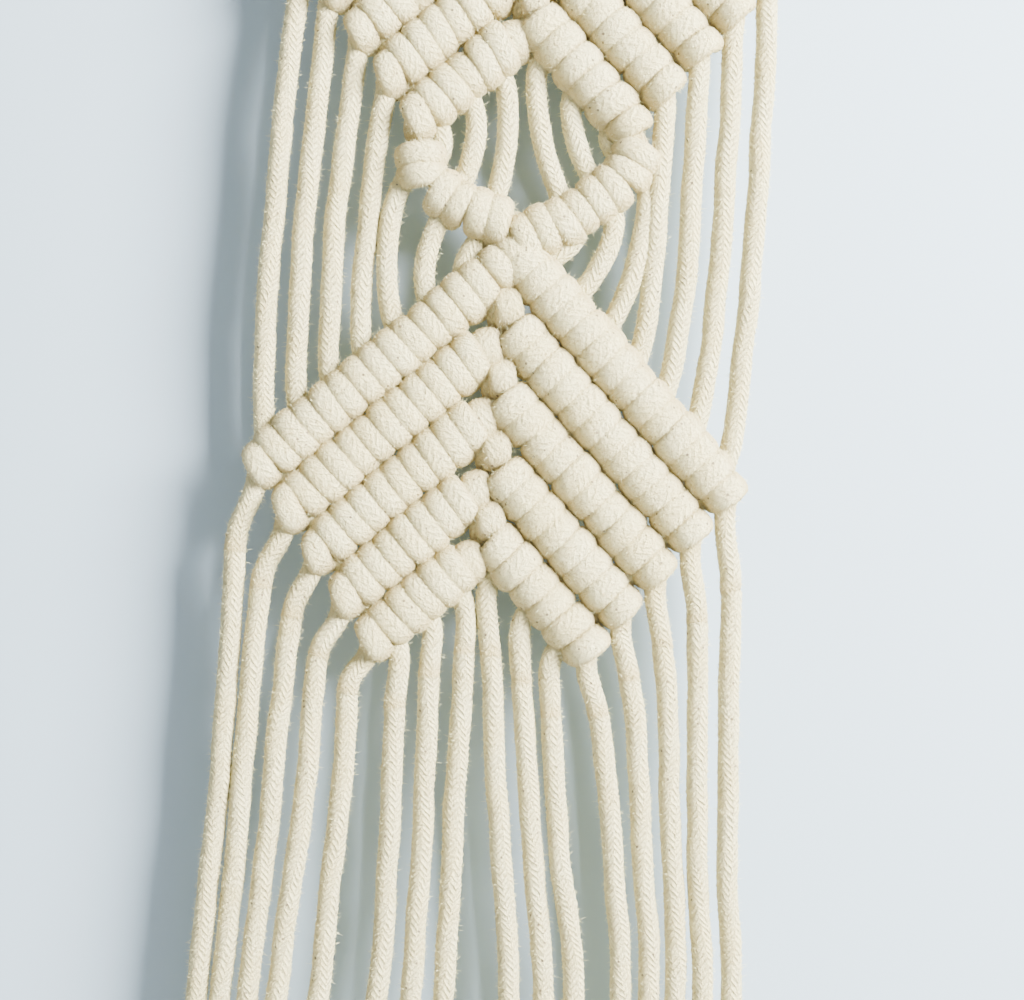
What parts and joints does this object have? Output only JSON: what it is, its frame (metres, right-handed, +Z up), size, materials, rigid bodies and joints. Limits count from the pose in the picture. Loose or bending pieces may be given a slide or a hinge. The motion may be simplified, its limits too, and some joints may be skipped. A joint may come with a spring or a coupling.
{
  "type": "macrame wall hanging",
  "caption": "Narrow macrame wall hanging of cream braided cotton cord, tied in chevrons around an open diamond, hung with a fringe from a wooden dowel.",
  "frame": {"origin": "middle of the dowel, on its axis", "axes": "+Z up, +X along the dowel to the right, -Y towards the viewer, +Y towards the wall"},
  "size_m": [0.164, 0.0256, 0.3888],
  "materials": {
    "dowel_wood": "sanded and lightly waxed",
    "cotton_cord": "matte braided cotton with a soft fuzz"
  },
  "bodies": {
    "rod": {"dowel": "dowel_wood"},
    "panel": {"cord_1": "cotton_cord", "cord_2": "cotton_cord", "cord_3": "cotton_cord", "cord_4": "cotton_cord", "cord_5": "cotton_cord", "cord_6": "cotton_cord", "cord_7": "cotton_cord", "cord_8": "cotton_cord", "fringe_1": "cotton_cord", "fringe_2": "cotton_cord", "fringe_3": "cotton_cord", "fringe_4": "cotton_cord", "fringe_5": "cotton_cord", "fringe_6": "cotton_cord", "fringe_7": "cotton_cord", "fringe_8": "cotton_cord", "fringe_9": "cotton_cord", "fringe_10": "cotton_cord", "fringe_11": "cotton_cord", "fringe_12": "cotton_cord", "fringe_13": "cotton_cord", "fringe_14": "cotton_cord", "fringe_15": "cotton_cord", "fringe_16": "cotton_cord"}
  },
  "joints": [
    {"name": "panel_swing", "type": "hinge", "parent": "rod", "child": "panel", "pos_m": [0, 0, 0], "axis": [-1, 0, 0], "range_deg": [0, 80]}
  ]
}
